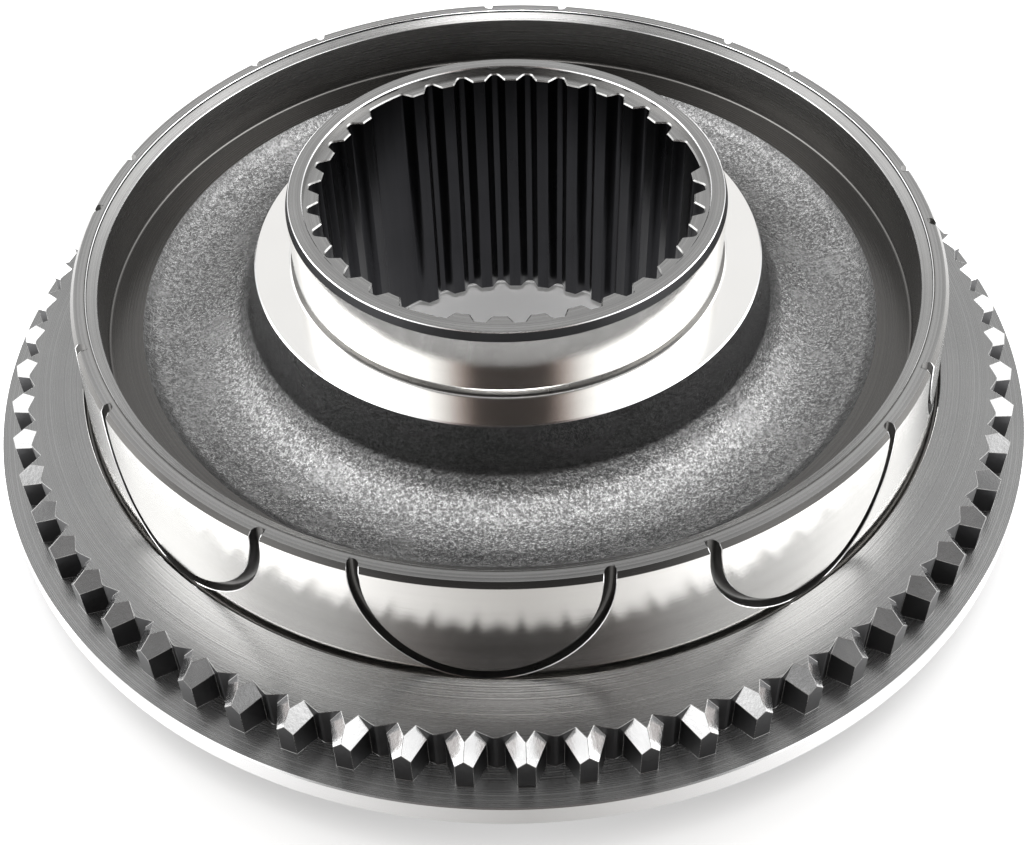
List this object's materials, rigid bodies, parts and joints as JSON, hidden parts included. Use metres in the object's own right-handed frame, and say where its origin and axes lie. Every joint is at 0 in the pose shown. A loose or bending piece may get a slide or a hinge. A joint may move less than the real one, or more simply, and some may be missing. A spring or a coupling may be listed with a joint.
{
  "type": "synchronizer ring",
  "caption": "Steel synchronizer ring with a splined hub, a friction cone with curved oil grooves, pointed dog teeth and a thin outer flange.",
  "frame": {"origin": "on the ring's axis, in the plane of the hub's lower face", "axes": "+Z along the axis from the hub's lower face to its top face; one dog tooth points along -Y"},
  "size_m": [0.25, 0.25, 0.072],
  "materials": {
    "steel": "hardened steel: ground cone, journal and shoulder, fine turned plate and flange, rough forged dish"
  },
  "bodies": {
    "root": {"synchronizer_ring": "steel"}
  },
  "joints": []
}
